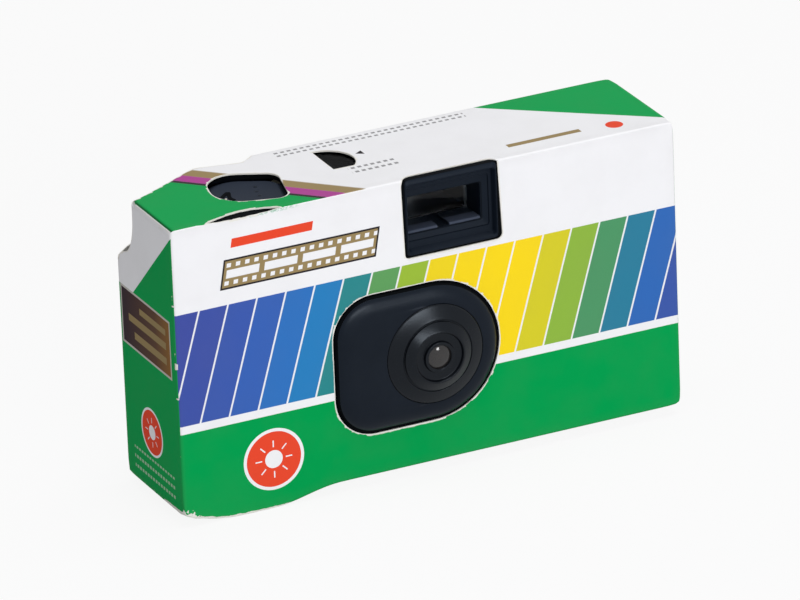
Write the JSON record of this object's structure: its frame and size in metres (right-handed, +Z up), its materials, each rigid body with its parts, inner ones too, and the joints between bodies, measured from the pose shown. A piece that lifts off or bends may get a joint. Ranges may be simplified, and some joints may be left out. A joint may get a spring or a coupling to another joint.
{
  "type": "disposable film camera",
  "caption": "Single-use film camera: a printed card carton round a plastic body with a fixed wide lens, finder, shutter button, thumbwheel and frame counter.",
  "frame": {"origin": "under the middle of the camera's box, on the surface it stands on", "axes": "+X to the right as seen from the front, +Y from the lens to the back, +Z up"},
  "size_m": [0.116, 0.0334, 0.067],
  "materials": {
    "printed_card": "coated print, cut edges bare",
    "black_plastic": "moulded, fine satin",
    "body_plastic": "moulded, matte",
    "button_plastic": "moulded, matte",
    "clear_plastic": "moulded clear, polished",
    "blackened_metal": "blackened",
    "spring_steel": "drawn wire and strip",
    "pale_plastic": "moulded",
    "counter_plastic": "moulded, printed numbers",
    "cassette_paint": "printed tinplate",
    "cassette_metal": "pressed",
    "light_trap_felt": "plush",
    "film_base": "coated"
  },
  "bodies": {
    "camera": {"carton": "printed_card", "front_cover": "black_plastic", "rear_cover": "black_plastic", "lens_hood": "black_plastic", "finder_barrel": "black_plastic", "cassette_lid": "black_plastic", "roll_lid": "black_plastic", "main_body": "body_plastic", "panorama_mask": "body_plastic", "mechanism_plate": "body_plastic", "front_lens": "clear_plastic", "rear_lens": "clear_plastic", "finder_front_lens": "clear_plastic", "finder_eyepiece": "clear_plastic", "counter_window": "clear_plastic", "stop_plate": "blackened_metal", "lens_retainer": "blackened_metal", "shutter_spring": "spring_steel", "metering_spring": "spring_steel", "drive_spring": "spring_steel", "ratchet_pawl": "spring_steel", "cassette_shell": "cassette_paint", "cassette_top_cap": "cassette_metal", "cassette_bottom_cap": "cassette_metal", "cassette_felts": "light_trap_felt", "film_strip": "film_base"},
    "wheel": {"thumbwheel": "black_plastic", "cassette_spool": "body_plastic"},
    "sprocket_shaft": {"sprocket": "pale_plastic", "metering_cam": "pale_plastic"},
    "roll": {"supply_spool": "body_plastic", "film_roll": "film_base"},
    "counter": {"counter_disc": "counter_plastic"},
    "button": {"shutter_button": "button_plastic"},
    "meter": {"metering_lever": "pale_plastic"},
    "drive": {"drive_lever": "pale_plastic"},
    "blade": {"shutter_blade": "blackened_metal"}
  },
  "joints": [
    {"name": "thumbwheel_turn", "type": "hinge", "parent": "camera", "child": "wheel", "pos_m": [-0.0437, 0.0022, 0.0574], "axis": [0, 0, 1], "continuous": true},
    {"name": "sprocket_turn", "type": "hinge", "parent": "camera", "child": "sprocket_shaft", "pos_m": [-0.0245, 0.00686, 0.0524], "axis": [0, 0, 1], "continuous": true},
    {"name": "roll_turn", "type": "hinge", "parent": "camera", "child": "roll", "pos_m": [0.0437, 0.00466, 0.0276], "axis": [0, 0, 1], "continuous": true},
    {"name": "counter_turn", "type": "hinge", "parent": "camera", "child": "counter", "pos_m": [-0.0146, 0.00516, 0.0634], "axis": [0, 0, 1], "continuous": true},
    {"name": "button_press", "type": "slide", "parent": "camera", "child": "button", "axis": [0, 0, -1], "range_m": [0, 0.0015], "stiffness_N_per_m": 500, "springref_m": -0.0006},
    {"name": "meter_swing", "type": "hinge", "parent": "camera", "child": "meter", "pos_m": [-0.0225, -0.00374, 0.0544], "axis": [0, 0, -1], "range_deg": [0, 8]},
    {"name": "drive_swing", "type": "hinge", "parent": "camera", "child": "drive", "pos_m": [-0.0165, 0.00026, 0.0564], "axis": [0, 0, 1], "range_deg": [0, 30], "stiffness_Nm_per_rad": 0.004, "springref_deg": -5.73},
    {"name": "blade_swing", "type": "hinge", "parent": "camera", "child": "blade", "pos_m": [-0.0085, -0.0081, 0.0379], "axis": [0, -1, 0], "range_deg": [0, 30], "stiffness_Nm_per_rad": 0.002, "springref_deg": -5.73}
  ],
  "couplings": [
    {"joint": "sprocket_turn", "follows": "thumbwheel_turn", "ratio": 1},
    {"joint": "roll_turn", "follows": "thumbwheel_turn", "ratio": 0.75},
    {"joint": "counter_turn", "follows": "thumbwheel_turn", "ratio": -0.033333},
    {"joint": "meter_swing", "follows": "button_press", "rad_per_m": 93}
  ]
}
